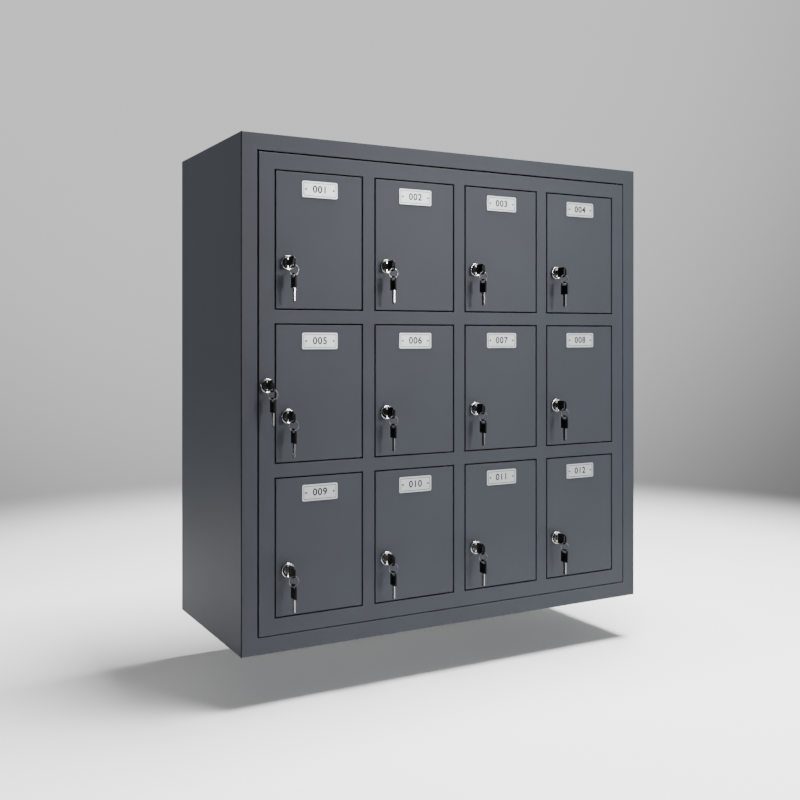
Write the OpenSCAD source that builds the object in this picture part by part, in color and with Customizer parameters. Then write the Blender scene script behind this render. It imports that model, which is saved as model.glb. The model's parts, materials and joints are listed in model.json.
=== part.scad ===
// Wall locker bank: a sheet-steel cabinet whose whole front is one master door,
// with a grid of small locked doors in it. Millimetres.
// X is to the right seen from the front, +Y is to the back, +Z is up.
// The origin is the centre of the cabinet's flat underside.

/* [Cabinet] */
// Width of the cabinet
cabinet_w = 760; // [700:1:820]
// Height of the cabinet
cabinet_h = 780; // [740:1:840]
// Depth of the cabinet, without the keys
cabinet_d = 300; // [200:1:400]
// Thickness of the outer sheet, the frames and the doors
sheet = 1.5; // [1.2:0.1:1.5]
// Thickness of the shelves and the dividers
inner_sheet = 1.2; // [0.8:0.1:1.5]
// Width of the front frame round the master door
frame_w = 25.5; // [24:0.5:28]

/* [Doors] */
// Columns of small doors
columns = 4; // [3:1:4]
// Rows of small doors
rows = 3; // [2:1:3]
// Gap at the master door's lock side and above it
master_gap = 2.4; // [2:0.1:4]
// Gap at the master door's hinge side and below it
hinge_gap = 1.2; // [1.1:0.1:3]
// Gap round each small door
door_gap = 2.2; // [1.5:0.1:3]
// Width of the master door's outer stiles
stile_w = 25; // [25:0.1:30]
// Height of the master door's top and bottom rails
rail_w = 24.5; // [24:0.1:30]
// Width of the bars between the small doors
bar_w = 20.4; // [18:0.1:26]

/* [Locks] */
// Height of the lock axis above the lower edge of a small door's opening
lock_up = 71.5; // [66:0.5:80]
// Distance of the lock axis from the left edge of a small door's opening
lock_in = 21; // [19:0.5:24]
// Height of the master lock's axis above the cabinet's underside
master_lock_z = 402; // [380:1:420]

/* [Number plates] */
// Width of a number plate
plate_w = 59.5; // [50:0.5:80]
// Height of a number plate
plate_h = 25; // [20:0.5:30]

/* [Hidden] */
$fn = 48;

// Cabinet planes
front_y = -cabinet_d / 2;
back_y = cabinet_d / 2;
half_w = cabinet_w / 2;

// Depth of each folded return behind the front plane
frame_return = 24;
master_return = 18;
door_return = 14;
interior_y = front_y + 25;
hem = 12;

// Master door and the grid of openings in it
master_left = -half_w + frame_w + master_gap;
master_right = half_w - frame_w - hinge_gap;
master_low = frame_w + hinge_gap;
master_high = cabinet_h - frame_w - master_gap;
master_w = master_right - master_left;
master_x = (master_left + master_right) / 2;
master_z = (master_low + master_high) / 2;
opening_w = (master_w - 2 * stile_w - (columns - 1) * bar_w) / columns;
opening_h = (master_high - master_low - 2 * rail_w - (rows - 1) * bar_w) / rows;
pitch_x = opening_w + bar_w;
pitch_z = opening_h + bar_w;
door_w = opening_w - 2 * door_gap;
door_h = opening_h - 2 * door_gap;
door_count = columns * rows;

// Pivots: inset from the door's right edge, depth behind its face, and pin
master_pivot_in = 12;
master_pivot_y = 5;
master_pin_r = 2.5;
door_pivot_in = 5;
door_pivot_y = 4;
door_pin_r = 1.5;
running_gap = 0.05;
pin_inside = 6;
pin_beyond = 3;
pin_head_rim = 0.9;
pin_head_gap = 1;
washer_play = 0.2;
washer_rim = 1.5;

// Cam lock
head_r = 11;
head_h = 4;
rim_r = 1;
dish_r = 9.6;
dish_low_r = 7.2;
dish_depth = 1.3;
barrel_r = 8;
plug_r = 6.5;
plug_in = 1.2;
nut_flats = 20;
nut_t = 4;
cam_t = 2;
cam_w = 13;
cam_reach = 27;
cam_corner_r = 2.6;
cam_play = 0.5;
tail_side = 7;
screw_r = 4.5;
screw_h = 2.2;
screw_shank_r = 2;
screw_shank_l = 4;
part_gap = 0.05;
door_cam_y = master_return + cam_play;
master_cam_y = frame_return + cam_play;

// Key, and the ring that it carries
key_head_l = 22.5;
key_head_w = 17.5;
key_head_t = 3;
key_corner_r = 7;
key_slot_l = 12.4;
key_slot_w = 4;
key_slot_in = 2.6;
key_slot_corner_r = 1.9;
blade_l = 21.5;
blade_w = 7.6;
blade_t = 2;
blade_tip = 2;
blade_tip_w = 1.9;
blade_root = 1;
keyway_play = 0.2;
cut_side = 2;
low_cut_side = 1.4;
cut_count = 4;
shoulder_gap = 2.5;
shoulder_y = -head_h - shoulder_gap;
ring_r = 7.6;
wire_r = 0.6;
ring_pivot_out = 1.1;
bar_drop = key_slot_l / 2 + ring_pivot_out;
ring_drop = 4.9;
ring_y = shoulder_y - key_head_l + key_slot_in + key_slot_w / 2;
ring_z = -bar_drop - ring_drop;
wire_play = 0.3;
spare_z = ring_z - ring_r + wire_r + wire_play + key_slot_in - key_head_l;

// Number plate
plate_t = 0.8;
plate_corner_r = 2.5;
plate_drop = 11.9;
rivet_in = 6.5;
rivet_r = 1.5;
rivet_top_r = 1;
rivet_head = 0.6;
rivet_tail = 1;
rivet_shank_r = 1;

// Wall fixing holes
wall_hole_r = 4.5;
wall_hole_dx = 510;
wall_hole_dz = 600;

// Paint and metal
paint = [0.35, 0.37, 0.40];
chrome = [0.85, 0.86, 0.88];
steel = [0.70, 0.71, 0.72];

function two_digits(n) = str(n < 10 ? "0" : "", n);
function numbers() = [for (n = [1 : door_count]) n];
function column_of(n) = (n - 1) % columns;
function row_of(n) = floor((n - 1) / columns);
function door_x(n) = master_x + (column_of(n) - (columns - 1) / 2) * pitch_x;
function door_z(n) = master_z + ((rows - 1) / 2 - row_of(n)) * pitch_z;
function divider_x(c) = master_x + (c - columns / 2) * pitch_x;

// Edges of the bars: bar 0 is the left stile or the bottom rail
function bar_x(c) = c == 0 ? master_left : master_left + stile_w + c * pitch_x - bar_w;
function bar_x_end(c) = c == columns ? master_right
    : c == 0 ? master_left + stile_w : bar_x(c) + bar_w;
function bar_z(r) = r == 0 ? master_low : master_low + rail_w + r * pitch_z - bar_w;
function bar_z_end(r) = r == rows ? master_high
    : r == 0 ? master_low + rail_w : bar_z(r) + bar_w;

// A box between two opposite corners
module block(low, high) {
    translate(low)
        cube(high - low);
}

// A rectangle with round corners, centred
module round_rectangle(w, h, r) {
    square([w - 2 * r, h], center = true);
    square([w, h - 2 * r], center = true);
    for (x = [-1, 1], y = [-1, 1])
        translate([x * (w / 2 - r), y * (h / 2 - r)])
            circle(r);
}

// Puts what is drawn along +Z along +Y, into the cabinet
module inwards() {
    rotate([-90, 0, 0])
        children();
}

// ---- Cabinet ----

module side_sheet() {
    block([-half_w, front_y, 0], [-half_w + sheet, back_y, cabinet_h]);
    block([-half_w, front_y, 0], [-half_w + frame_w, front_y + sheet, cabinet_h]);
    block([-half_w + frame_w - sheet, front_y, frame_w],
          [-half_w + frame_w, front_y + frame_return, cabinet_h - frame_w]);
}

module left_side() {
    color(paint)
        side_sheet();
}

module right_side() {
    color(paint)
        mirror([1, 0, 0])
            side_sheet();
}

// The top sheet, the frame's top rail and its return, with the pivot hole
module top_sheet() {
    inner = half_w - frame_w;
    low = cabinet_h - frame_w;
    difference() {
        union() {
            block([-half_w + sheet, front_y + sheet, cabinet_h - sheet],
                  [half_w - sheet, back_y, cabinet_h]);
            block([-inner, front_y, low], [inner, front_y + sheet, cabinet_h]);
            block([-inner, front_y, low], [inner, front_y + frame_return, low + sheet]);
        }
        translate([master_right - master_pivot_in, front_y + master_pivot_y, low - 1])
            cylinder(r = master_pin_r + running_gap, h = sheet + 2);
    }
}

module top_panel() {
    color(paint)
        top_sheet();
}

module bottom_panel() {
    color(paint)
        translate([0, 0, cabinet_h])
            mirror([0, 0, 1])
                top_sheet();
}

module back_panel() {
    color(paint)
        difference() {
            block([-half_w + sheet, back_y - sheet, sheet],
                  [half_w - sheet, back_y, cabinet_h - sheet]);
            for (x = [-1, 1], z = [-1, 1])
                translate([x * wall_hole_dx / 2, back_y - sheet - 1, cabinet_h / 2 + z * wall_hole_dz / 2])
                    inwards()
                        cylinder(r = wall_hole_r, h = sheet + 2);
        }
}

// Full-height sheets between the columns, with a hemmed front edge
module vertical_dividers() {
    color(paint)
        for (c = [1 : columns - 1]) {
            x = divider_x(c);
            block([x - inner_sheet / 2, interior_y, sheet],
                  [x + inner_sheet / 2, back_y - sheet, cabinet_h - sheet]);
            block([x - 1.5 * inner_sheet, interior_y, sheet],
                  [x + inner_sheet / 2, interior_y + hem, cabinet_h - sheet]);
        }
}

// One shelf in each column at each level, with a hemmed front edge
module shelves() {
    color(paint)
        for (c = [0 : columns - 1], r = [1 : rows - 1]) {
            middle = inner_sheet / 2;
            x = c == 0 ? -half_w + sheet : divider_x(c) + middle;
            x_end = c == columns - 1 ? half_w - sheet : divider_x(c + 1) - middle;
            x_hem_end = c == columns - 1 ? x_end : x_end - inner_sheet;
            z = bar_z(r) + bar_w / 2;
            block([x, interior_y + hem, z - middle], [x_end, back_y - sheet, z + middle]);
            block([x, interior_y, z - middle - inner_sheet],
                  [x_hem_end, interior_y + hem, z + middle]);
        }
}

// ---- Master door ----

// A pin through the return at the top and one at the bottom of a door
module at_both_ends(low, high) {
    translate([0, 0, high])
        children();
    translate([0, 0, low])
        mirror([0, 0, 1])
            children();
}

// Channel along X: two returns, and an end plate where the master door ends
module rail(r) {
    z = bar_z(r);
    z_end = bar_z_end(r);
    deep = front_y + master_return;
    block([master_left, front_y, z], [master_right, front_y + sheet, z_end]);
    block([master_left, front_y, z], [master_right, deep, z + sheet]);
    block([master_left, front_y, z_end - sheet], [master_right, deep, z_end]);
    block([master_left, front_y, z], [master_left + sheet, deep, z_end]);
    block([master_right - sheet, front_y, z], [master_right, deep, z_end]);
}

// Channel along Z between two rails: two returns
module stile(c, r) {
    x = bar_x(c);
    x_end = bar_x_end(c);
    z = bar_z_end(r);
    z_end = bar_z(r + 1);
    deep = front_y + master_return;
    block([x, front_y, z], [x_end, front_y + sheet, z_end]);
    block([x, front_y, z], [x + sheet, deep, z_end]);
    block([x_end - sheet, front_y, z], [x_end, deep, z_end]);
}

module master_door_rails() {
    color(paint)
        difference() {
            for (r = [0 : rows])
                rail(r);
            translate([master_right - master_pivot_in, front_y + master_pivot_y, 0])
                at_both_ends(master_low, master_high)
                    translate([0, 0, -sheet - 1])
                        cylinder(r = master_pin_r + running_gap, h = sheet + 2);
            for (n = numbers())
                translate([door_x(n) + door_w / 2 - door_pivot_in, front_y + door_pivot_y, door_z(n)])
                    at_both_ends(-opening_h / 2, opening_h / 2)
                        translate([0, 0, -1])
                            cylinder(r = door_pin_r + running_gap, h = sheet + 2);
        }
}

module master_door_stiles() {
    color(paint)
        difference() {
            for (c = [0 : columns], r = [0 : rows - 1])
                stile(c, r);
            at_master_lock()
                inwards()
                    translate([0, 0, -1])
                        cylinder(r = barrel_r + part_gap, h = sheet + 2);
        }
}

module at_master_lock() {
    translate([master_left + stile_w / 2, front_y, master_lock_z])
        children();
}

module master_door_fittings() {
    at_master_lock()
        lock_case(master_cam_y);
    color(steel)
        translate([master_right - master_pivot_in, front_y + master_pivot_y, 0])
            hinge_pins(master_low, master_high, master_pin_r, master_gap, hinge_gap);
}

// ---- Hinge pins ----

// Two headed pins, and the washer that carries the door on the sheet below it
module hinge_pins(low, high, pin_r, gap, low_gap) {
    at_both_ends(low, high)
        translate([0, 0, -pin_inside]) {
            cylinder(r = pin_r, h = pin_inside + gap + sheet + pin_beyond);
            cylinder(r = pin_r + pin_head_rim, h = pin_inside - sheet - pin_head_gap);
        }
    translate([0, 0, low - low_gap + washer_play])
        difference() {
            cylinder(r = pin_r + washer_rim, h = low_gap - washer_play);
            translate([0, 0, -1])
                cylinder(r = pin_r + running_gap, h = low_gap + 2);
        }
}

// ---- Small doors ----

module at_door(n) {
    translate([door_x(n), front_y, door_z(n)])
        children();
}

module at_door_lock(n) {
    at_door(n)
        translate([-opening_w / 2 + lock_in, 0, -opening_h / 2 + lock_up])
            children();
}

module at_rivets() {
    for (side = [-1, 1])
        translate([side * (plate_w / 2 - rivet_in), 0, door_h / 2 - plate_drop - plate_h / 2])
            inwards()
                children();
}

// A folded tray: the face and four returns
module door_panel(n) {
    color(paint)
        difference() {
            at_door(n)
                block([-door_w / 2, 0, -door_h / 2], [door_w / 2, door_return, door_h / 2]);
            at_door(n)
                block([-door_w / 2 + sheet, sheet, -door_h / 2 + sheet],
                      [door_w / 2 - sheet, door_return + 1, door_h / 2 - sheet]);
            at_door(n)
                translate([door_w / 2 - door_pivot_in, door_pivot_y, -door_h / 2 - 1])
                    cylinder(r = door_pin_r + running_gap, h = door_h + 2);
            at_door(n)
                at_rivets()
                    translate([0, 0, -1])
                        cylinder(r = rivet_shank_r + part_gap, h = sheet + 2);
            at_door_lock(n)
                inwards()
                    translate([0, 0, -1])
                        cylinder(r = barrel_r + part_gap, h = sheet + 2);
        }
}

module number_plate() {
    difference() {
        translate([0, -plate_t, door_h / 2 - plate_drop - plate_h / 2])
            inwards()
                linear_extrude(plate_t)
                    round_rectangle(plate_w, plate_h, plate_corner_r);
        at_rivets()
            translate([0, 0, -plate_t - 1])
                cylinder(r = rivet_shank_r + part_gap, h = plate_t + 2);
    }
}

// Domed head in front of the plate, shank, and the set head behind the door
module rivets() {
    at_rivets() {
        translate([0, 0, -plate_t - part_gap - rivet_head])
            cylinder(r1 = rivet_top_r, r2 = rivet_r, h = rivet_head);
        translate([0, 0, -plate_t - part_gap - rivet_head / 2])
            cylinder(r = rivet_shank_r, h = rivet_head / 2 + plate_t + sheet + rivet_tail);
        translate([0, 0, sheet + part_gap])
            cylinder(r = rivet_r, h = rivet_tail);
    }
}

module door_fittings(n) {
    color(chrome)
        at_door(n) {
            number_plate();
            rivets();
        }
    at_door_lock(n)
        lock_case(door_cam_y);
    color(steel)
        at_door(n)
            translate([door_w / 2 - door_pivot_in, door_pivot_y, 0])
                hinge_pins(-door_h / 2, door_h / 2, door_pin_r, door_gap, door_gap);
}

// ---- Cam lock: the axis is the Y axis, and the door's face is at y = 0 ----

// The case: a round dished head, and a barrel that ends at the cam
module lock_case(cam_y) {
    color(chrome)
        inwards() {
            difference() {
                union() {
                    lock_head();
                    cylinder(r = barrel_r, h = cam_y - 1);
                }
                translate([0, 0, -head_h])
                    cylinder(r1 = dish_r, r2 = dish_low_r, h = dish_depth);
                translate([0, 0, -head_h - 1])
                    cylinder(r = plug_r + running_gap, h = head_h + cam_y + 2);
            }
            lock_nut();
        }
}

module lock_head() {
    rotate_extrude() {
        translate([0, -head_h + rim_r])
            square([head_r, head_h - rim_r]);
        translate([0, -head_h])
            square([head_r - rim_r, head_h]);
        translate([head_r - rim_r, -head_h + rim_r])
            circle(rim_r);
    }
}

// Hexagon nut that clamps the case to the sheet, with two flats upright
module lock_nut() {
    translate([0, 0, sheet])
        difference() {
            rotate(30)
                cylinder(r = nut_flats / sqrt(3), h = nut_t, $fn = 6);
            translate([0, 0, -1])
                cylinder(r = barrel_r + part_gap, h = nut_t + 2);
        }
}

// The plug with its keyway, and a square tail for the cam
module lock_plug(cam_y) {
    face = -head_h + plug_in;
    keyway_t = blade_t + 2 * keyway_play;
    keyway_w = blade_w + 2 * keyway_play;
    tail_end = cam_y + cam_t - part_gap;
    difference() {
        union() {
            translate([0, 0, face])
                cylinder(r = plug_r, h = cam_y - part_gap - face);
            translate([-tail_side / 2, -tail_side / 2, 0])
                cube([tail_side, tail_side, tail_end]);
        }
        block([-keyway_t / 2, -keyway_w / 2, face - 1],
              [keyway_t / 2, keyway_w / 2, shoulder_y + blade_l + keyway_play]);
        translate([0, 0, cam_y + cam_t - screw_shank_l])
            cylinder(r = screw_shank_r + part_gap, h = screw_shank_l + 1);
    }
}

// The cam hangs down when the lock is open, and points left when it is locked
module cam(cam_y) {
    translate([0, 0, cam_y])
        linear_extrude(cam_t)
            difference() {
                union() {
                    circle(cam_w / 2);
                    translate([-cam_w / 2, 0])
                        square([cam_w, cam_reach - cam_w / 2]);
                    translate([0, cam_reach - cam_w / 2])
                        round_rectangle(cam_w, cam_w, cam_corner_r);
                }
                square(tail_side + 2 * part_gap, center = true);
            }
}

module cam_screw(cam_y) {
    translate([0, 0, cam_y + cam_t + part_gap])
        cylinder(r = screw_r, h = screw_h);
    translate([0, 0, cam_y + cam_t - screw_shank_l + part_gap])
        cylinder(r = screw_shank_r, h = screw_shank_l);
}

// A key in the XY plane: the shoulder is at x = 0, and the blade points to +X
module key() {
    translate([0, 0, -key_head_t / 2])
        linear_extrude(key_head_t)
            difference() {
                union() {
                    translate([-key_head_l / 2, 0])
                        round_rectangle(key_head_l, key_head_w, key_corner_r);
                    translate([-key_head_l / 2, -key_head_w / 2])
                        square([key_head_l / 2, key_head_w]);
                }
                translate([-key_head_l + key_slot_in + key_slot_w / 2, 0])
                    round_rectangle(key_slot_w, key_slot_l, key_slot_corner_r);
            }
    translate([0, 0, -blade_t / 2])
        linear_extrude(blade_t)
            difference() {
                polygon([
                    [-blade_root, -blade_w / 2],
                    [blade_l - blade_tip, -blade_w / 2],
                    [blade_l, -blade_tip_w / 2],
                    [blade_l, blade_tip_w / 2],
                    [blade_l - blade_tip, blade_w / 2],
                    [-blade_root, blade_w / 2]
                ]);
                for (i = [1 : cut_count])
                    translate([i * blade_l / (cut_count + 1), blade_w / 2])
                        rotate(45)
                            square(i % 2 == 0 ? cut_side : low_cut_side, center = true);
            }
}

module plug_cam_and_key(cam_y) {
    color(steel)
        inwards() {
            lock_plug(cam_y);
            cam(cam_y);
            cam_screw(cam_y);
        }
    color("black")
        translate([0, shoulder_y, 0])
            rotate([90, 0, 90])
                key();
}

// The ring hangs on the side bar of the key's head, and the spare key on the ring
module ring_and_spare() {
    color(steel)
        translate([0, ring_y, ring_z])
            inwards()
                rotate_extrude()
                    translate([ring_r, 0])
                        circle(wire_r);
    color("black")
        translate([0, ring_y, spare_z])
            rotate([0, 90, 0])
                key();
}

left_side();
right_side();
top_panel();
bottom_panel();
back_panel();
vertical_dividers();
shelves();
master_door_rails();
master_door_stiles();
master_door_fittings();
for (n = numbers()) {
    number = two_digits(n);
    door_panel(n);
    door_fittings(n);
    at_door_lock(n) plug_cam_and_key(door_cam_y);
    at_door_lock(n) ring_and_spare();
}
at_master_lock() plug_cam_and_key(master_cam_y);  // lock_master_plug_cam_and_key
at_master_lock() ring_and_spare();  // keyring_master_with_spare_key
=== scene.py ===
import json
import math

import bmesh
import bpy
from mathutils import Matrix, Vector

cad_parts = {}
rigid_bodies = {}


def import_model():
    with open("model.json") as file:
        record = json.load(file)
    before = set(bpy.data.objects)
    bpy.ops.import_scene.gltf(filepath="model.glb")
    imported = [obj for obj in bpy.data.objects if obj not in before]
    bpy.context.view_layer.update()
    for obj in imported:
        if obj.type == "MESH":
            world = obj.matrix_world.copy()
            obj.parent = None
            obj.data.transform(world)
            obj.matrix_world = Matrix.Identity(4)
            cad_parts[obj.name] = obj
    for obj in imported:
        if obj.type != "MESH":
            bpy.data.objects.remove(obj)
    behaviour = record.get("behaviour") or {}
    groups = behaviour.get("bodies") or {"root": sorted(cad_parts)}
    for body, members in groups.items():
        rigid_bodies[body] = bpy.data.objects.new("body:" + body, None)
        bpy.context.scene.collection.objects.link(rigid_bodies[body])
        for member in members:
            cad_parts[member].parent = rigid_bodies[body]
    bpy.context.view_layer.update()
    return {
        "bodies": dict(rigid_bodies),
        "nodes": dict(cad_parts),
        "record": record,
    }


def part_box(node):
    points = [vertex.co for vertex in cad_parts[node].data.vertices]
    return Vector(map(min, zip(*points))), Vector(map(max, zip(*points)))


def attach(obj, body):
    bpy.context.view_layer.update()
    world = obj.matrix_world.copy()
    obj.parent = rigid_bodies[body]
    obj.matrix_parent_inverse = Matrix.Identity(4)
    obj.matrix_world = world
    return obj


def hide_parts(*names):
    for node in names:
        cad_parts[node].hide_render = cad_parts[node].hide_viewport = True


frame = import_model()

MM = 0.001
record = frame["record"]
joints = {j["name"]: j for j in record["behaviour"]["joints"]}
numbers = [name[5:7] for name in sorted(frame["bodies"]) if name.startswith("door_")]

# Sheet metal
SHEET = 1.5 * MM
BEND = 0.7 * MM
BEND_STEPS = 5
OUTER_CORNER = 1 * MM
INNER_CORNER = 0.15 * MM
FRAME_RETURN = 24 * MM
MASTER_RETURN = 18 * MM
DOOR_RETURN = 14 * MM
DOOR_GAP = 2.2 * MM

# Cam lock
HEAD_R = 11 * MM
HEAD_H = 4 * MM
RIM_R = 1 * MM
DISH_R = 9.7 * MM
DISH_LOW_R = 7.2 * MM
DISH_DEPTH = 1.3 * MM
BARREL_R = 8 * MM
PLUG_R = 6.5 * MM
PLUG_IN = 1.2 * MM
PLUG_FACE_T = 3 * MM
PLUG_PLAY = 0.08 * MM
KEYWAY_W = 2.6 * MM
KEYWAY_H = 9.2 * MM
THREAD_PITCH = 1.5 * MM
THREAD_DEPTH = 0.45 * MM
NUT_FLATS = 20 * MM
NUT_T = 4 * MM
NUT_CHAMFER = 0.7 * MM
CAM_W = 13 * MM
CAM_T = 2 * MM
CAM_REACH = 27 * MM
CAM_END_R = 3 * MM
CAM_PLAY = 0.5 * MM
CAM_TO_CASE = 1 * MM
TAIL_W = 7 * MM
TAIL_PLAY = 0.1 * MM
SCREW_R = 4.5 * MM
SCREW_H = 2.2 * MM
SCREW_EDGE = 0.6 * MM
CROSS_L = 6 * MM
CROSS_W = 0.9 * MM

# Key and ring
KEY_HEAD_L = 22.5 * MM
KEY_HEAD_W = 17.5 * MM
KEY_HEAD_T = 3 * MM
KEY_SLOT_L = 12.4 * MM
KEY_SLOT_W = 4 * MM
KEY_SLOT_IN = 2.6 * MM
KEY_END_R = 7 * MM
GRIP_W = 11.5 * MM
GRIP_H = 13 * MM
GRIP_OFFSET = 3.6 * MM
BLADE_L = 21.5 * MM
BLADE_W = 7.6 * MM
BLADE_T = 2 * MM
BLADE_TIP = 2 * MM
CUT_PITCH = BLADE_L / 5.2
CUT_DEPTHS = (1.3 * MM, 0.8 * MM, 1.5 * MM, 1.0 * MM)
CUT_HALF_W = 0.4 * MM
SHOULDER = 6.5 * MM
RING_R = 7.6 * MM
RING_DROP = 4.9 * MM
WIRE_R = 0.4 * MM
WIRE_PLAY = 0.3 * MM
WIRE_TURNS = 1.9

# Number plate
PLATE_W = 59.5 * MM
PLATE_H = 25 * MM
PLATE_T = 0.8 * MM
PLATE_CORNER = 2.5 * MM
PLATE_DROP = 11.9 * MM
ENGRAVED_IN = 2.4 * MM
ENGRAVED_LINE = 0.75 * MM
ENGRAVED_T = 0.08 * MM
DIGIT_SIZE = 15 * MM
RIVET_IN = 6.5 * MM
RIVET_R = 1.5 * MM
RIVET_DOME = 0.62 * MM

# Hinge pins
MASTER_PIN_R = 2.5 * MM
DOOR_PIN_R = 1.5 * MM
PIN_HEAD_RIM = 0.9 * MM
PIN_INSIDE = 6 * MM
PIN_BEYOND = 3 * MM
PIN_CHAMFER = 0.4 * MM
WASHER_RIM = 1.5 * MM
WASHER_BORE_PLAY = 0.05 * MM
WASHER_CHAMFER = 0.2 * MM
WASHER_PLAY = 0.2 * MM

# Studio, in metres; the eye is measured from the middle, the front and the underside
VIEW_TURN = math.radians(28.83)
EYE_ACROSS = -0.887
EYE_OUT = 1.408
EYE_UP = 0.477
FLOOR_DROP = 0.08
FLOOR_AT = (0.2, 0.35)
FLOOR_R = 1.9
FLOOR_SOLID_R = 1.05
ROOM_LIGHT = 0.18
BACKDROP_LIGHT = 0.80
BACKDROP_TURN = VIEW_TURN - math.radians(6.5)
BACKDROP_RISE = math.radians(20)

# Name, place, point it faces, size, power in watts, spread in degrees
LIGHTS = [
    ("key", (1.1, -2.8, 0.95), (0.08, -0.15, 0.80), (0.6, 0.6), 6.5, 45),
    ("panel", (1.4, -2.6, 0.5), (-0.1, -0.15, 0.5), (2.6, 1.1), 15, 180),
    ("left", (-2.8, 0.4, 0.7), (-0.38, 0.05, 0.85), (1.4, 1.4), 7, 45),
    ("top", (0.4, -0.25, 2.4), (0.4, -0.25, 0), (1.1, 1.1), 280, 180),
]


# ---------------------------------------------------------------- materials

def new_material(name, color, roughness, metallic=0.0):
    """A material with plain values, and its shader."""
    material = bpy.data.materials.new(name)
    material.use_nodes = True
    shader = material.node_tree.nodes["Principled BSDF"]
    shader.inputs["Base Color"].default_value = (*color, 1)
    shader.inputs["Roughness"].default_value = roughness
    shader.inputs["Metallic"].default_value = metallic
    return material, shader


def object_noise(tree, scale, detail=2.0, stretch=(1, 1, 1)):
    """Noise in the piece's own metres; stretch lengthens the grain along an axis."""
    coords = tree.nodes.new("ShaderNodeTexCoord")
    mapping = tree.nodes.new("ShaderNodeMapping")
    mapping.inputs["Scale"].default_value = stretch
    noise = tree.nodes.new("ShaderNodeTexNoise")
    noise.inputs["Scale"].default_value = scale
    noise.inputs["Detail"].default_value = detail
    tree.links.new(coords.outputs["Object"], mapping.inputs["Vector"])
    tree.links.new(mapping.outputs["Vector"], noise.inputs["Vector"])
    return noise.outputs["Fac"]


def vary(tree, factor, low, high, socket):
    """Drives a shader socket between two values, or two colours, with a 0 to 1 factor.
    Most of the noise lies between the ramp's two positions."""
    ramp = tree.nodes.new("ShaderNodeValToRGB")
    ramp.color_ramp.elements[0].position = 0.3
    ramp.color_ramp.elements[1].position = 0.7
    for element, value in zip(ramp.color_ramp.elements, (low, high)):
        element.color = (*value, 1) if isinstance(value, tuple) else (value, value, value, 1)
    tree.links.new(factor, ramp.inputs["Fac"])
    tree.links.new(ramp.outputs["Color"], socket)


def bump(tree, shader, heights):
    """Adds up bumps, each a (height, strength, distance)."""
    normal = None
    for height, strength, distance in heights:
        node = tree.nodes.new("ShaderNodeBump")
        node.inputs["Strength"].default_value = strength
        node.inputs["Distance"].default_value = distance
        tree.links.new(height, node.inputs["Height"])
        if normal:
            tree.links.new(normal, node.inputs["Normal"])
        normal = node.outputs["Normal"]
    tree.links.new(normal, shader.inputs["Normal"])


def powder_coat():
    """Anthracite powder coat: fine grit over a soft orange peel."""
    material, shader = new_material("anthracite_powder_coat", (0.0245, 0.0279, 0.0350), 0.55)
    shader.inputs["Specular IOR Level"].default_value = 0.2
    tree = material.node_tree
    patches = object_noise(tree, 9, 3)
    grit = object_noise(tree, 1400, 2)
    peel = object_noise(tree, 320, 2)
    vary(tree, patches, (0.0233, 0.0265, 0.0332), (0.0257, 0.0293, 0.0368), shader.inputs["Base Color"])
    vary(tree, grit, 0.50, 0.60, shader.inputs["Roughness"])
    bump(tree, shader, [(peel, 0.25, 0.0002), (grit, 0.35, 0.00006)])
    return material


def polished_chrome():
    """Head and barrel of a lock case, with faint wear."""
    material, shader = new_material("polished_chrome", (0.36, 0.36, 0.37), 0.16, 1.0)
    tree = material.node_tree
    wear = object_noise(tree, 900, 4)
    vary(tree, wear, 0.12, 0.22, shader.inputs["Roughness"])
    bump(tree, shader, [(wear, 0.05, 0.00003)])
    return material


def satin_nickel():
    """Turned face of a lock plug."""
    material, shader = new_material("satin_nickel", (0.36, 0.355, 0.345), 0.24, 1.0)
    tree = material.node_tree
    wear = object_noise(tree, 1500, 3)
    vary(tree, wear, 0.18, 0.32, shader.inputs["Roughness"])
    bump(tree, shader, [(wear, 0.15, 0.00005)])
    return material


def zinc_plate():
    """Dull blue-white zinc on nuts, cams, screws and pins."""
    material, shader = new_material("zinc_plate", (0.50, 0.52, 0.54), 0.38, 1.0)
    tree = material.node_tree
    cloud = object_noise(tree, 260, 4)
    vary(tree, cloud, (0.44, 0.46, 0.47), (0.58, 0.60, 0.62), shader.inputs["Base Color"])
    vary(tree, cloud, 0.30, 0.48, shader.inputs["Roughness"])
    bump(tree, shader, [(cloud, 0.1, 0.00005)])
    return material


def brushed_aluminium():
    """Number plate, brushed along its length."""
    material, shader = new_material("brushed_aluminium", (0.33, 0.34, 0.345), 0.42, 0.5)
    tree = material.node_tree
    grain = object_noise(tree, 2600, 3, (0.02, 1, 1))
    vary(tree, grain, (0.30, 0.31, 0.315), (0.36, 0.37, 0.375), shader.inputs["Base Color"])
    vary(tree, grain, 0.34, 0.50, shader.inputs["Roughness"])
    bump(tree, shader, [(grain, 0.2, 0.00004)])
    return material


def plate_ink():
    """Grey filling of the engraved numbers and border."""
    material, shader = new_material("engraving_grey", (0.008, 0.008, 0.009), 0.6)
    shader.inputs["Specular IOR Level"].default_value = 0.1
    tree = material.node_tree
    grain = object_noise(tree, 2500, 2)
    vary(tree, grain, (0.006, 0.006, 0.007), (0.010, 0.010, 0.011), shader.inputs["Base Color"])
    return material


def black_plastic():
    """Moulded key heads, faintly grained."""
    material, shader = new_material("black_plastic", (0.002, 0.002, 0.0022), 0.36)
    shader.inputs["Specular IOR Level"].default_value = 0.08
    tree = material.node_tree
    grain = object_noise(tree, 1800, 2)
    vary(tree, grain, (0.0015, 0.0015, 0.0017), (0.0025, 0.0025, 0.0027), shader.inputs["Base Color"])
    vary(tree, grain, 0.30, 0.44, shader.inputs["Roughness"])
    bump(tree, shader, [(grain, 0.2, 0.00004)])
    return material


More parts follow.
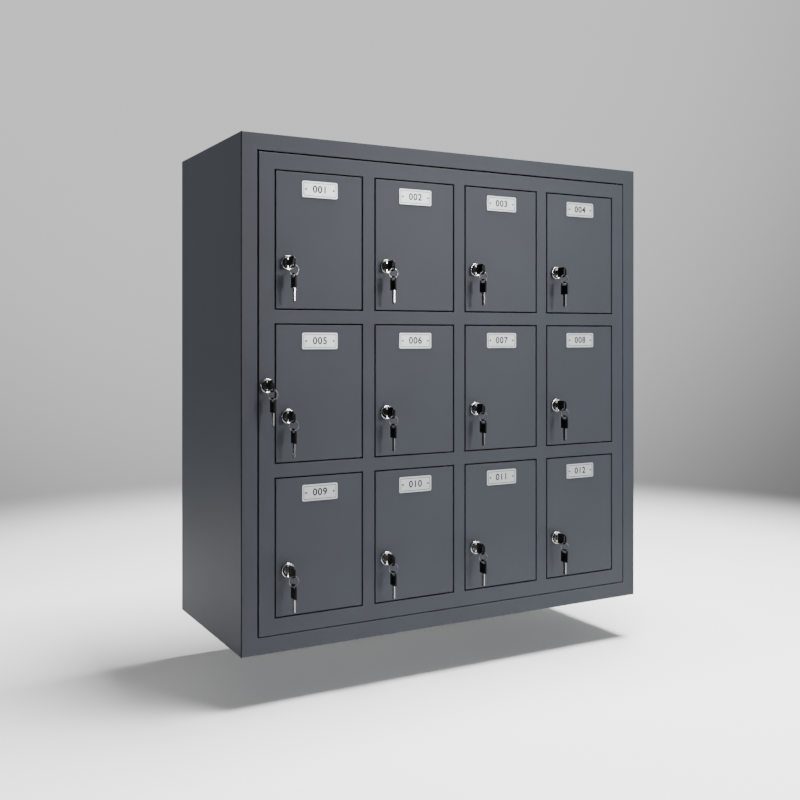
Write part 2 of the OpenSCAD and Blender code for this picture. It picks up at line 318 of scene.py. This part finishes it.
def bright_steel():
    """Bright key blades, which mirror the dark of the room."""
    material, shader = new_material("bright_steel", (0.22, 0.22, 0.22), 0.14, 1.0)
    tree = material.node_tree
    wear = object_noise(tree, 1100, 4)
    vary(tree, wear, 0.12, 0.22, shader.inputs["Roughness"])
    bump(tree, shader, [(wear, 0.08, 0.00004)])
    return material


def ring_wire():
    """Spring wire of the key rings, duller than the keys."""
    material, shader = new_material("ring_wire", (0.16, 0.16, 0.165), 0.28, 1.0)
    tree = material.node_tree
    wear = object_noise(tree, 1300, 3)
    vary(tree, wear, 0.20, 0.36, shader.inputs["Roughness"])
    return material


def black_oxide():
    """Hinge pins, blackened."""
    material, shader = new_material("black_oxide", (0.03, 0.03, 0.032), 0.45, 1.0)
    tree = material.node_tree
    cloud = object_noise(tree, 700, 3)
    vary(tree, cloud, (0.022, 0.022, 0.024), (0.042, 0.042, 0.045), shader.inputs["Base Color"])
    vary(tree, cloud, 0.38, 0.55, shader.inputs["Roughness"])
    return material


def black_nylon():
    """Washers under the doors."""
    material, shader = new_material("black_nylon", (0.015, 0.015, 0.016), 0.55)
    tree = material.node_tree
    cloud = object_noise(tree, 400, 2)
    vary(tree, cloud, (0.012, 0.012, 0.013), (0.019, 0.019, 0.020), shader.inputs["Base Color"])
    return material


PAINT = powder_coat()
CHROME = polished_chrome()
NICKEL = satin_nickel()
ZINC = zinc_plate()
PLATE = brushed_aluminium()
INK = plate_ink()
PLASTIC = black_plastic()
STEEL = bright_steel()
WIRE = ring_wire()
PIN_STEEL = black_oxide()
NYLON = black_nylon()


# ---------------------------------------------------------------- mesh tools

SHARP = math.radians(32)
SQUARE_ON = 0.9997
MERGE = 0.005 * MM
NO_LENGTH = 0.0001 * MM

# Which way each corner of a rectangle lies, and where its arc starts, in degrees
CORNERS = ((1, 1, 0), (-1, 1, 90), (-1, -1, 180), (1, -1, 270))


def finish_mesh(bm, name):
    """Cleans the mesh, points its faces outwards, and shades its bends smooth and its flats flat."""
    bmesh.ops.remove_doubles(bm, verts=bm.verts, dist=MERGE)
    bmesh.ops.dissolve_degenerate(bm, edges=bm.edges, dist=NO_LENGTH)
    bmesh.ops.recalc_face_normals(bm, faces=bm.faces)
    for face in bm.faces:
        face.smooth = max(abs(part) for part in face.normal) < SQUARE_ON
    for edge in bm.edges:
        edge.smooth = len(edge.link_faces) == 2 and edge.calc_face_angle(0) < SHARP
    mesh = bpy.data.meshes.new(name)
    bm.to_mesh(mesh)
    bm.free()
    return mesh


def place(name, mesh, material, body, at=(0, 0, 0), replaces=()):
    """Makes a piece of a mesh, puts it at a point, and lets it ride on a body."""
    piece = bpy.data.objects.new(name, mesh.copy())
    piece.data.name = name
    piece.location = at
    bpy.context.collection.objects.link(piece)
    piece.data.materials.clear()
    piece.data.materials.append(material)
    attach(piece, body)
    if replaces:
        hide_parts(*replaces)
    return piece


def arc(cx, cy, r, start, end, steps):
    """Points on a circle from one angle to another, in degrees."""
    angles = [math.radians(start + (end - start) * i / steps) for i in range(steps + 1)]
    return [(cx + r * math.cos(a), cy + r * math.sin(a)) for a in angles]


def ring_of(bm, steps, shape):
    """A ring of vertices about the Y axis; shape gives radius and y at an angle."""
    loop = []
    for i in range(steps):
        a = 2 * math.pi * i / steps
        r, y = shape(a)
        loop.append(bm.verts.new((r * math.cos(a), y, r * math.sin(a))))
    return loop


def rectangle_loop(bm, box, inset, y, radius):
    """Corner points of a round-cornered rectangle in the XZ plane, shrunk by inset."""
    x0, x1, z0, z1 = box
    r = max(radius, INNER_CORNER)
    a, b = (x1 - x0) / 2 - inset - r, (z1 - z0) / 2 - inset - r
    mx, mz = (x0 + x1) / 2, (z0 + z1) / 2
    points = []
    for sx, sz, start in CORNERS:
        points += arc(mx + sx * a, mz + sz * b, r, start, start + 90, 3)
    return [bm.verts.new((x, y, z)) for x, z in points]


def skin(bm, loops, closed=False):
    """Faces between each loop of vertices and the next."""
    pairs = list(zip(loops, loops[1:]))
    if closed:
        pairs.append((loops[-1], loops[0]))
    for one, two in pairs:
        for i in range(len(one)):
            j = (i + 1) % len(one)
            bm.faces.new((one[i], one[j], two[j], two[i]))


def loop_edges(bm, loop):
    """The edges round a loop of vertices, made where they don't exist."""
    edges = []
    for i, vert in enumerate(loop):
        other = loop[(i + 1) % len(loop)]
        edges.append(bm.edges.get((vert, other)) or bm.edges.new((vert, other)))
    return edges


def fill_between(bm, loops):
    """A flat sheet inside the first loop and round the others."""
    edges = [edge for loop in loops for edge in loop_edges(bm, loop)]
    bmesh.ops.triangle_fill(bm, use_beauty=True, use_dissolve=False, edges=edges)


def lathe(profile, steps=48, closed=False):
    """Turns (radius, y) points about the Y axis."""
    bm = bmesh.new()
    loops = [ring_of(bm, steps, lambda a: point) for point in profile]
    skin(bm, loops, closed)
    if not closed:
        for loop in (loops[0], loops[-1]):
            bm.faces.new(loop)
    return bm


def flat_part(outlines, thickness, bevel, turn):
    """A plate with rounded edges cut to closed outlines; inner outlines are holes."""
    curve = bpy.data.curves.new("outline", "CURVE")
    curve.dimensions = "2D"
    curve.fill_mode = "BOTH"
    curve.extrude = thickness / 2 - bevel
    curve.bevel_depth = bevel
    curve.bevel_resolution = 2
    curve.offset = -bevel
    for outline in outlines:
        spline = curve.splines.new("POLY")
        spline.points.add(len(outline) - 1)
        for point, (x, y) in zip(spline.points, outline):
            point.co = (x, y, 0, 1)
        spline.use_cyclic_u = True
    return curve_to_bmesh(curve, turn)


def curve_to_bmesh(curve, turn):
    """Turns a filled curve into a mesh, with its axes mapped by a matrix."""
    holder = bpy.data.objects.new("holder", curve)
    bpy.context.collection.objects.link(holder)
    bpy.context.view_layer.update()
    depsgraph = bpy.context.evaluated_depsgraph_get()
    mesh = bpy.data.meshes.new_from_object(holder.evaluated_get(depsgraph))
    bm = bmesh.new()
    bm.from_mesh(mesh)
    bmesh.ops.transform(bm, matrix=turn, verts=bm.verts)
    bpy.data.objects.remove(holder)
    bpy.data.curves.remove(curve)
    bpy.data.meshes.remove(mesh)
    return bm


def join(*parts):
    """One bmesh of several."""
    whole = bmesh.new()
    for part in parts:
        mesh = bpy.data.meshes.new("part")
        part.to_mesh(mesh)
        part.free()
        whole.from_mesh(mesh)
        bpy.data.meshes.remove(mesh)
    return whole


def moved(bm, x=0.0, y=0.0, z=0.0):
    """The same bmesh, moved."""
    bmesh.ops.translate(bm, vec=(x, y, z), verts=bm.verts)
    return bm


def upright(bm):
    """The same bmesh, its Y axis turned to Z."""
    bmesh.ops.transform(bm, matrix=Matrix.Rotation(math.radians(90), 4, "X"), verts=bm.verts)
    return bm


def round_rectangle(w, h, r, steps=6):
    """Outline of a rectangle with round corners, about the origin."""
    points = []
    for sx, sy, start in CORNERS:
        points += arc(sx * (w / 2 - r), sy * (h / 2 - r), r, start, start + 90, steps)
    return points


def shifted(outline, x, y):
    """The same outline, moved."""
    return [(a + x, b + y) for a, b in outline]


# How a flat part's X, Y and thickness lie in the cabinet
FACING_FRONT = Matrix(((1, 0, 0, 0), (0, 0, -1, 0), (0, 1, 0, 0), (0, 0, 0, 1)))
INTO_LOCK = Matrix(((0, 0, 1, 0), (1, 0, 0, 0), (0, 1, 0, 0), (0, 0, 0, 1)))
HANGING = Matrix(((0, 0, 1, 0), (0, 1, 0, 0), (-1, 0, 0, 0), (0, 0, 0, 1)))


# ---------------------------------------------------------------- cabinet

def carcass_mesh(box, front, back, frame_w):
    """The welded cabinet skin: the outer walls, the front frame and its return."""
    r = BEND
    corner = OUTER_CORNER
    edge = 0.4 * MM
    outside = [(0, back, corner), (0, front + r, corner)]
    for u, y in arc(r, front + r, r, 180, 270, BEND_STEPS):
        outside.append((u, y, corner - u))
    for u, y in arc(frame_w - r, front + r, r, 270, 360, BEND_STEPS):
        outside.append((u, y, edge))
    deep = front + FRAME_RETURN
    inside = [
        (frame_w, deep, edge),
        (frame_w - SHEET, deep, edge),
        (frame_w - SHEET, front + SHEET, edge),
        (SHEET, front + SHEET, edge),
        (SHEET, back, edge),
    ]
    bm = bmesh.new()
    loops = [rectangle_loop(bm, box, *point) for point in outside + inside]
    skin(bm, loops, closed=True)
    return finish_mesh(bm, "cabinet_shell")


def painted_corner_shadow_mesh(box, front):
    """Painted shadow line: a thin black strip, a little proud of the bend, down each front corner where a
    side's fold meets the frame.
    """
    r = BEND
    proud = 0.05 * MM
    on_front = 1.4 * MM
    on_side = 2 * MM
    profile = [(-proud, front + on_side)]
    profile += arc(r, front + r, r + proud, 180, 270, BEND_STEPS)
    profile += [(on_front, front - proud), (on_front, front + SHEET / 2), (SHEET / 2, front + on_side)]
    bm = bmesh.new()
    for corner, side in ((box[0], 1), (box[1], -1)):
        ends = [[bm.verts.new((corner + side * u, y, z)) for u, y in profile] for z in box[2:]]
        skin(bm, ends)
        for end in ends:
            bm.faces.new(end)
    return finish_mesh(bm, "painted_corner_shadows")


def folded_edge(bm, box, front, depth, outwards):
    """A bend and a return round a rectangle. Returns its front and back boundary loops.
    outwards is 1 round the outside of a sheet and -1 round an opening in it."""
    r = BEND
    corner = 0.3 * MM
    bend = arc(r, front + r, r, 270, 180, BEND_STEPS)
    points = [(outwards * u, y) for u, y in bend]
    points += [(0, front + depth), (outwards * SHEET, front + depth), (outwards * SHEET, front + SHEET)]
    loops = [rectangle_loop(bm, box, u, y, corner) for u, y in points]
    skin(bm, loops)
    return loops[0], loops[-1]


def master_door_mesh(box, front, openings):
    """The master door's welded frame: one sheet with a folded edge round each opening."""
    bm = bmesh.new()
    rims = [folded_edge(bm, box, front, MASTER_RETURN, 1)]
    for opening in openings:
        rims.append(folded_edge(bm, opening, front, MASTER_RETURN, -1))
    fill_between(bm, [rim[0] for rim in rims])
    fill_between(bm, [rim[1] for rim in rims])
    return finish_mesh(bm, "master_door_frame")


def door_mesh(box, front):
    """A small door: a folded tray."""
    bm = bmesh.new()
    for loop in folded_edge(bm, box, front, DOOR_RETURN, 1):
        bm.faces.new(loop)
    return finish_mesh(bm, "door")


def box_xz(low, high):
    """The left, right, lower and upper sides of a box."""
    return (low.x, high.x, low.z, high.z)


left_low, left_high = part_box("left_side")
right_low, right_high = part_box("right_side")
rails_low, rails_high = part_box("master_door_rails")
FRONT = left_low.y
BACK = left_high.y
cabinet_box = (left_low.x, right_high.x, left_low.z, left_high.z)
door_boxes = {n: box_xz(*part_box(f"door_{n}_panel")) for n in numbers}
openings = [
    (x0 - DOOR_GAP, x1 + DOOR_GAP, z0 - DOOR_GAP, z1 + DOOR_GAP)
    for x0, x1, z0, z1 in door_boxes.values()
]

place(
    "cabinet_shell",
    carcass_mesh(cabinet_box, FRONT, BACK, left_high.x - left_low.x),
    PAINT, "cabinet",
    replaces=["left_side", "right_side", "top_panel", "bottom_panel"],
)
# Painted shade: black strips down the front corners stand in for a shadow line at the fold.
place("painted_corner_shadows", painted_corner_shadow_mesh(cabinet_box, FRONT), PLASTIC, "cabinet")
place(
    "master_door_frame",
    master_door_mesh(box_xz(rails_low, rails_high), FRONT, openings),
    PAINT, "master_door",
    replaces=["master_door_rails", "master_door_stiles"],
)
for name in ("back_panel", "vertical_dividers", "shelves"):
    node = frame["nodes"][name]
    node.data.materials.clear()
    node.data.materials.append(PAINT)
    edges = node.modifiers.new("edges", "BEVEL")
    edges.width = 0.25 * MM
    edges.segments = 2
    edges.limit_method = "ANGLE"


# ---------------------------------------------------------------- cam lock

def lock_case_mesh(length):
    """Round head with a dish round the plug, and a threaded barrel of a given length."""
    bore = PLUG_R + PLUG_PLAY
    chamfer = 0.3 * MM
    head = [(bore, length), (bore, -HEAD_H + DISH_DEPTH)]
    for i in range(9):
        a = math.radians(10 * i)
        r = DISH_LOW_R + (DISH_R - DISH_LOW_R) * math.sin(a)
        head.append((r, -HEAD_H + DISH_DEPTH * math.cos(a)))
    head += arc(HEAD_R - RIM_R, -HEAD_H + RIM_R, RIM_R, 270, 360, 8)
    head += [(HEAD_R, -chamfer), (HEAD_R - chamfer, 0), (BARREL_R, 0)]
    bm = bmesh.new()
    steps = 64
    loops = [ring_of(bm, steps, lambda a: point) for point in head]
    rings_per_turn = 4
    turns = int((length - SHEET) / THREAD_PITCH)
    for i in range(turns * rings_per_turn):
        phase = i / rings_per_turn
        y = SHEET + phase * THREAD_PITCH
        loops.append(ring_of(bm, steps, lambda a: (BARREL_R - THREAD_DEPTH * thread(phase, a), y)))
    loops.append(ring_of(bm, steps, lambda a: (BARREL_R - THREAD_DEPTH, length)))
    skin(bm, loops, closed=True)
    return finish_mesh(bm, "lock_case")


def thread(phase, angle):
    """Depth of a V thread, 0 at the crest and 1 at the root."""
    part = (phase + angle / (2 * math.pi)) % 1
    return abs(2 * part - 1)


def hexagon_r(angle, flats):
    """Radius of a hexagon with two flats facing left and right."""
    part = (angle + math.pi / 6) % (math.pi / 3) - math.pi / 6
    return flats / 2 / math.cos(part)


def lock_nut_mesh():
    """Chamfered hexagon nut, with its front face against the sheet."""
    bm = bmesh.new()
    inner = BARREL_R + 0.1 * MM
    face = NUT_FLATS / 2 + 0.4 * MM
    side = face + 2 * NUT_CHAMFER
    levels = [
        (inner, 0), (face, 0), (side, NUT_CHAMFER),
        (side, NUT_T - NUT_CHAMFER), (face, NUT_T), (inner, NUT_T),
    ]
    loops = []
    for r, y in levels:
        loops.append(ring_of(bm, 72, lambda a: (min(r, hexagon_r(a, NUT_FLATS)), SHEET + y)))
    skin(bm, loops, closed=True)
    return finish_mesh(bm, "lock_nut")


def plug_mesh(cam_y):
    """The plug's turned face with its keyway, and the square tail behind it."""
    face = -HEAD_H + PLUG_IN
    bevel = 0.2 * MM
    overlap = 1 * MM
    keyway = round_rectangle(KEYWAY_W, KEYWAY_H, 0.5 * MM, 3)
    disc = arc(0, 0, PLUG_R, 0, 360, 48)[:-1]
    front = flat_part([disc, keyway], PLUG_FACE_T, bevel, FACING_FRONT)
    body_r = PLUG_R - 0.1 * MM
    body = lathe([(body_r, face + PLUG_FACE_T), (body_r, cam_y)])
    square = round_rectangle(TAIL_W, TAIL_W, 0.4 * MM)
    tail = flat_part([square], CAM_T + overlap, bevel, FACING_FRONT)
    front = moved(front, y=face + PLUG_FACE_T / 2)
    tail = moved(tail, y=cam_y + (CAM_T - overlap) / 2)
    return finish_mesh(join(front, body, tail), "lock_plug")


def cam_mesh(cam_y):
    """The cam, hanging down, and the screw that holds it."""
    side = CAM_W / 2 - CAM_END_R
    outline = arc(0, 0, CAM_W / 2, 0, 180, 16)
    outline += arc(-side, -CAM_REACH + CAM_END_R, CAM_END_R, 180, 270, 6)
    outline += arc(side, -CAM_REACH + CAM_END_R, CAM_END_R, 270, 360, 6)
    hole_w = TAIL_W + TAIL_PLAY
    hole = round_rectangle(hole_w, hole_w, 0.3 * MM, 2)
    plate = moved(flat_part([outline, hole], CAM_T, 0.25 * MM, FACING_FRONT), y=cam_y + CAM_T / 2)
    top = cam_y + CAM_T
    edge = top + SCREW_EDGE
    head = [(0.6 * MM, top), (SCREW_R, top), (SCREW_R, edge)]
    for degrees in (20, 40, 60, 80):
        a = math.radians(degrees)
        head.append((SCREW_R * math.cos(a), edge + (SCREW_H - SCREW_EDGE) * math.sin(a)))
    marks = []
    for w, h in ((CROSS_W, CROSS_L), (CROSS_L, CROSS_W)):
        mark = flat_part([round_rectangle(w, h, 0.2 * MM)], 0.5 * MM, 0.1 * MM, FACING_FRONT)
        marks.append(moved(mark, y=top + SCREW_H - 0.1 * MM))
    return finish_mesh(join(plate, lathe(head), *marks), "cam_and_screw")


# ---------------------------------------------------------------- keys

def key_head_outline():
    """Square shoulders at x = 0, and a round outer end at -X."""
    shoulder_r = 1.2 * MM
    half = KEY_HEAD_W / 2
    end_x = -KEY_HEAD_L + KEY_END_R
    outline = arc(-shoulder_r, half - shoulder_r, shoulder_r, 0, 90, 4)
    outline += arc(end_x, half - KEY_END_R, KEY_END_R, 90, 180, 10)
    outline += arc(end_x, -half + KEY_END_R, KEY_END_R, 180, 270, 10)
    outline += arc(-shoulder_r, -half + shoulder_r, shoulder_r, 270, 360, 4)
    return outline


def key_head_mesh(turn):
    """Moulded head with a ring slot and a raised grip pad on each face."""
    slot = shifted(
        round_rectangle(KEY_SLOT_W, KEY_SLOT_L, 1.9 * MM),
        -KEY_HEAD_L + KEY_SLOT_IN + KEY_SLOT_W / 2, 0,
    )
    body = flat_part([key_head_outline(), slot], KEY_HEAD_T - 0.3 * MM, 0.5 * MM, turn)
    pad = shifted(round_rectangle(GRIP_W, GRIP_H, 2.5 * MM), -KEY_HEAD_L / 2 + GRIP_OFFSET, 0)
    grip = flat_part([pad], KEY_HEAD_T + 0.1 * MM, 0.3 * MM, turn)
    return finish_mesh(join(body, grip), "key_head")


def blade_outline(inset, low, high, cuts):
    """Outline of the blade between two heights, with V cuts along its upper edge."""
    in_head = -1 * MM
    tip = BLADE_L - inset
    points = [(in_head, low), (tip - BLADE_TIP, low), (tip, low * 0.3)]
    points += [(tip, high * 0.3), (tip - BLADE_TIP, high)]
    if cuts:
        for i in range(len(CUT_DEPTHS), 0, -1):
            x = i * CUT_PITCH
            d = CUT_DEPTHS[i - 1]
            points += [(x + CUT_HALF_W + d, high), (x + CUT_HALF_W, high - d)]
            points += [(x - CUT_HALF_W, high - d), (x - CUT_HALF_W - d, high)]
    return points + [(in_head, high)]


def key_blade_mesh(turn):
    """Flat blade with cuts along one edge and a groove milled in each face."""
    half = BLADE_W / 2
    core = flat_part([blade_outline(0, -half, half, True)], BLADE_T * 0.55, 0.12 * MM, turn)
    lower = blade_outline(0.2 * MM, -half + 0.1 * MM, -1.1 * MM, False)
    upper = blade_outline(0.4 * MM, 0.5 * MM, half - 1.7 * MM, False)
    ribs = [flat_part([outline], BLADE_T, 0.15 * MM, turn) for outline in (lower, upper)]
    return finish_mesh(join(core, *ribs), "key_blade")


def ring_mesh():
    """Split ring: nearly two turns of wire side by side, about the Y axis."""
    bm = bmesh.new()
    rise = 2.05 * WIRE_R
    start = math.radians(200)
    around = 10
    count = 96
    along_y = Vector((0, 1, 0))
    loops = []
    for i in range(count + 1):
        part = i / count
        a = 2 * math.pi * WIRE_TURNS * part + start
        out = Vector((math.cos(a), 0, math.sin(a)))
        centre = out * RING_R + along_y * (part - 0.5) * WIRE_TURNS * rise
        taper = min(1.0, 0.35 + 12 * min(part, 1 - part))
        loop = []
        for k in range(around):
            b = 2 * math.pi * k / around
            offset = out * math.cos(b) + along_y * math.sin(b)
            loop.append(bm.verts.new(centre + offset * WIRE_R * taper))
        loops.append(loop)
    skin(bm, loops)
    bm.faces.new(loops[0])
    bm.faces.new(loops[-1])
    return finish_mesh(bm, "ring")


# ---------------------------------------------------------------- number plates and hinge pins

def plate_mesh():
    """The blank number plate."""
    outline = round_rectangle(PLATE_W, PLATE_H, PLATE_CORNER)
    return finish_mesh(flat_part([outline], PLATE_T, 0.2 * MM, FACING_FRONT), "number_plate")


def marks_mesh(number):
    """The engraved border line and number, filled with grey."""
    outlines = []
    for inset, r in ((ENGRAVED_IN, 1.6 * MM), (ENGRAVED_IN + ENGRAVED_LINE, 1.3 * MM)):
        outlines.append(round_rectangle(PLATE_W - 2 * inset, PLATE_H - 2 * inset, r))
    border = flat_part(outlines, ENGRAVED_T, 0.01 * MM, FACING_FRONT)
    text = bpy.data.curves.new("number", "FONT")
    text.body = "0" + number
    text.size = DIGIT_SIZE
    text.align_x = "CENTER"
    text.align_y = "CENTER"
    text.space_character = 1.12
    text.extrude = ENGRAVED_T
    text.offset = 0.3 * MM
    return finish_mesh(join(border, curve_to_bmesh(text, FACING_FRONT)), "plate_marks")


def rivets_mesh():
    """Two domed heads on the plate, and the set heads behind the door."""
    dome = [(0.02 * MM, -RIVET_DOME)]
    for degrees in range(15, 91, 15):
        a = math.radians(degrees)
        dome.append((RIVET_R * math.sin(a), -RIVET_DOME * math.cos(a)))
    behind = SHEET + PLATE_T
    tail = [
        (RIVET_R, behind), (RIVET_R + 0.2 * MM, behind + 0.5 * MM), (RIVET_R - 0.4 * MM, behind + 1.1 * MM),
    ]
    parts = []
    for side in (-1, 1):
        for profile in (dome, tail):
            parts.append(moved(lathe(profile, 24), x=side * (PLATE_W / 2 - RIVET_IN)))
    return finish_mesh(join(*parts), "plate_rivets")


def hinge_pins_mesh(height, pin_r, gap):
    """Headed pins through the returns at the top and bottom of a door."""
    c = PIN_CHAMFER
    head_r = pin_r + PIN_HEAD_RIM
    under_head = -SHEET - 1 * MM
    length = gap + SHEET + PIN_BEYOND
    profile = [
        (head_r - c, -PIN_INSIDE), (head_r, -PIN_INSIDE + c), (head_r, under_head),
        (pin_r, under_head), (pin_r, length - c), (pin_r - c, length),
    ]
    top = moved(upright(lathe(profile, 32)), z=height / 2)
    low = upright(lathe(profile, 32))
    bmesh.ops.rotate(low, cent=(0, 0, 0), matrix=Matrix.Rotation(math.pi, 3, "X"), verts=low.verts)
    return finish_mesh(join(top, moved(low, z=-height / 2)), "hinge_pins")


def washer_mesh(pin_r, gap):
    """The washer that a door stands on, round its lower pin."""
    bore = pin_r + WASHER_BORE_PLAY
    rim = pin_r + WASHER_RIM
    c = WASHER_CHAMFER
    t = gap - WASHER_PLAY
    profile = [(bore, 0), (rim - c, 0), (rim, c), (rim, t - c), (rim - c, t), (bore, t)]
    return finish_mesh(upright(lathe(profile, 32, closed=True)), "washer")


# ---------------------------------------------------------------- assembly

blade_in_lock = key_blade_mesh(INTO_LOCK)
head_in_lock = key_head_mesh(INTO_LOCK)
blade_hanging = key_blade_mesh(HANGING)
head_hanging = key_head_mesh(HANGING)
split_ring = ring_mesh()
nut = lock_nut_mesh()


def lock_meshes(jamb_depth):
    """The case, plug and cam of a lock, with the cam just behind a jamb of a given depth."""
    cam_y = jamb_depth + CAM_PLAY
    return lock_case_mesh(cam_y - CAM_TO_CASE), plug_mesh(cam_y), cam_mesh(cam_y)


def add_lock(tag, carrier, case, plug, cam):
    """All the pieces of one cam lock, its keys and their ring, on the door that carries it."""
    lock_body = f"lock_{tag}"
    ring_body = f"keyring_{tag}"
    axis = Vector(joints[f"{lock_body}_turn"]["pos_m"])
    bar = Vector(joints[f"{ring_body}_swing"]["pos_m"])
    place(f"lock_{tag}_case", case, CHROME, carrier, axis)
    place(f"lock_{tag}_nut", nut, ZINC, carrier, axis)
    place(f"lock_{tag}_plug", plug, NICKEL, lock_body, axis,
          [f"{lock_body}_plug_cam_and_key"])
    place(f"lock_{tag}_cam", cam, ZINC, lock_body, axis)
    shoulder = axis - Vector((0, SHOULDER, 0))
    place(f"key_{tag}_head", head_in_lock, PLASTIC, lock_body, shoulder)
    place(f"key_{tag}_blade", blade_in_lock, STEEL, lock_body, shoulder)
    ring_at = bar - Vector((0, 0, RING_DROP))
    spare_at = ring_at - Vector((0, 0, RING_R - WIRE_R - WIRE_PLAY - KEY_SLOT_IN + KEY_HEAD_L))
    place(f"ring_{tag}", split_ring, WIRE, ring_body, ring_at,
          [f"{ring_body}_with_spare_key"])
    place(f"spare_{tag}_head", head_hanging, PLASTIC, ring_body, spare_at)
    place(f"spare_{tag}_blade", blade_hanging, STEEL, ring_body, spare_at)


small_lock = lock_meshes(MASTER_RETURN)
master_lock = lock_meshes(FRAME_RETURN)
plate = plate_mesh()
rivets = rivets_mesh()

for n in numbers:
    body = f"door_{n}"
    x0, x1, z0, z1 = door_boxes[n]
    hinge = Vector(joints[f"door_{n}_hinge"]["pos_m"])
    plate_x, plate_z = (x0 + x1) / 2, z1 - PLATE_DROP - PLATE_H / 2
    plate_at = (plate_x, FRONT - PLATE_T / 2, plate_z)
    plate_face = (plate_x, FRONT - PLATE_T, plate_z)
    pins = hinge_pins_mesh(z1 - z0, DOOR_PIN_R, DOOR_GAP)
    washer = washer_mesh(DOOR_PIN_R, DOOR_GAP)
    place(f"door_{n}_sheet", door_mesh(door_boxes[n], FRONT), PAINT, body,
          replaces=[f"door_{n}_panel"])
    place(f"plate_{n}", plate, PLATE, body, plate_at,
          [f"door_{n}_plate_and_lock_case"])
    place(f"plate_{n}_marks", marks_mesh(n), INK, body, plate_face)
    place(f"plate_{n}_rivets", rivets, INK, body, plate_face)
    place(f"hinge_{n}_pins", pins, PIN_STEEL, body, hinge)
    place(f"hinge_{n}_washer", washer, NYLON, body, (hinge.x, hinge.y, z0))
    add_lock(n, body, *small_lock)

master_gap = rails_low.x - left_high.x
hinge_gap = right_low.x - rails_high.x
master_x, master_y, _ = joints["master_door_hinge"]["pos_m"]
master_pins = hinge_pins_mesh(rails_high.z - rails_low.z, MASTER_PIN_R, master_gap)
add_lock("master", "master_door", *master_lock)
place("master_hinge_pins", master_pins, PIN_STEEL, "master_door",
      (master_x, master_y, (rails_low.z + rails_high.z) / 2), ["master_door_fittings"])
place("master_hinge_washer", washer_mesh(MASTER_PIN_R, hinge_gap), NYLON, "master_door",
      (master_x, master_y, rails_low.z))


# ---------------------------------------------------------------- studio

def studio_floor():
    """A pale floor a little below the cabinet, which fades out into the surroundings."""
    centre = (*FLOOR_AT, -FLOOR_DROP)
    bpy.ops.mesh.primitive_circle_add(vertices=128, radius=FLOOR_R, fill_type="NGON", location=centre)
    floor = bpy.context.object
    floor.name = "studio_floor"
    material, shader = new_material("studio_floor", (0.92, 0.92, 0.92), 0.7)
    tree = material.node_tree
    coords = tree.nodes.new("ShaderNodeTexCoord")
    distance = tree.nodes.new("ShaderNodeVectorMath")
    distance.operation = "LENGTH"
    fade = tree.nodes.new("ShaderNodeMapRange")
    fade.interpolation_type = "SMOOTHSTEP"
    fade.inputs["From Min"].default_value = FLOOR_SOLID_R
    fade.inputs["From Max"].default_value = FLOOR_R
    clear = tree.nodes.new("ShaderNodeBsdfTransparent")
    mix = tree.nodes.new("ShaderNodeMixShader")
    tree.links.new(coords.outputs["Object"], distance.inputs[0])
    tree.links.new(distance.outputs["Value"], fade.inputs["Value"])
    tree.links.new(fade.outputs["Result"], mix.inputs["Fac"])
    tree.links.new(shader.outputs["BSDF"], mix.inputs[1])
    tree.links.new(clear.outputs["BSDF"], mix.inputs[2])
    tree.links.new(mix.outputs["Shader"], tree.nodes["Material Output"].inputs["Surface"])
    floor.data.materials.append(material)


def area_light(name, at, target, size, power, spread):
    """A soft box at one point, facing another; a grid in front narrows its spread."""
    light = bpy.data.lights.new(name, "AREA")
    light.shape = "RECTANGLE"
    light.size, light.size_y = size
    light.energy = power
    light.spread = math.radians(spread)
    lamp = bpy.data.objects.new(name, light)
    lamp.location = at
    lamp.rotation_euler = (Vector(target) - Vector(at)).to_track_quat("-Z", "Y").to_euler()
    bpy.context.collection.objects.link(lamp)


def studio_world():
    """Grey surroundings, brightest behind the cabinet as the camera sees it."""
    world = bpy.data.worlds.new("studio")
    world.use_nodes = True
    tree = world.node_tree
    coords = tree.nodes.new("ShaderNodeTexCoord")
    towards = tree.nodes.new("ShaderNodeVectorMath")
    towards.operation = "DOT_PRODUCT"
    towards.inputs[1].default_value = (
        math.sin(BACKDROP_TURN) * math.cos(BACKDROP_RISE),
        math.cos(BACKDROP_TURN) * math.cos(BACKDROP_RISE),
        math.sin(BACKDROP_RISE),
    )
    spread = tree.nodes.new("ShaderNodeMapRange")
    spread.interpolation_type = "SMOOTHSTEP"
    spread.inputs["From Min"].default_value = 0.74
    spread.inputs["From Max"].default_value = 0.97
    spread.inputs["To Min"].default_value = ROOM_LIGHT
    spread.inputs["To Max"].default_value = BACKDROP_LIGHT
    tree.links.new(coords.outputs["Generated"], towards.inputs[0])
    tree.links.new(towards.outputs["Value"], spread.inputs["Value"])
    tree.links.new(spread.outputs["Result"], tree.nodes["Background"].inputs["Strength"])
    tree.nodes["Background"].inputs["Color"].default_value = (1, 1, 1, 1)
    bpy.context.scene.world = world


def camera():
    """Eye level a little above the cabinet's middle, turned to show its left side."""
    data = bpy.data.cameras.new("camera")
    data.lens = 45
    data.sensor_width = 36
    data.shift_y = -0.0805
    view = bpy.data.objects.new("camera", data)
    view.location = (EYE_ACROSS, FRONT - EYE_OUT, EYE_UP)
    view.rotation_euler = (math.radians(90), 0, -VIEW_TURN)
    bpy.context.collection.objects.link(view)
    bpy.context.scene.camera = view


camera()
studio_floor()
studio_world()
for light in LIGHTS:
    area_light(*light)
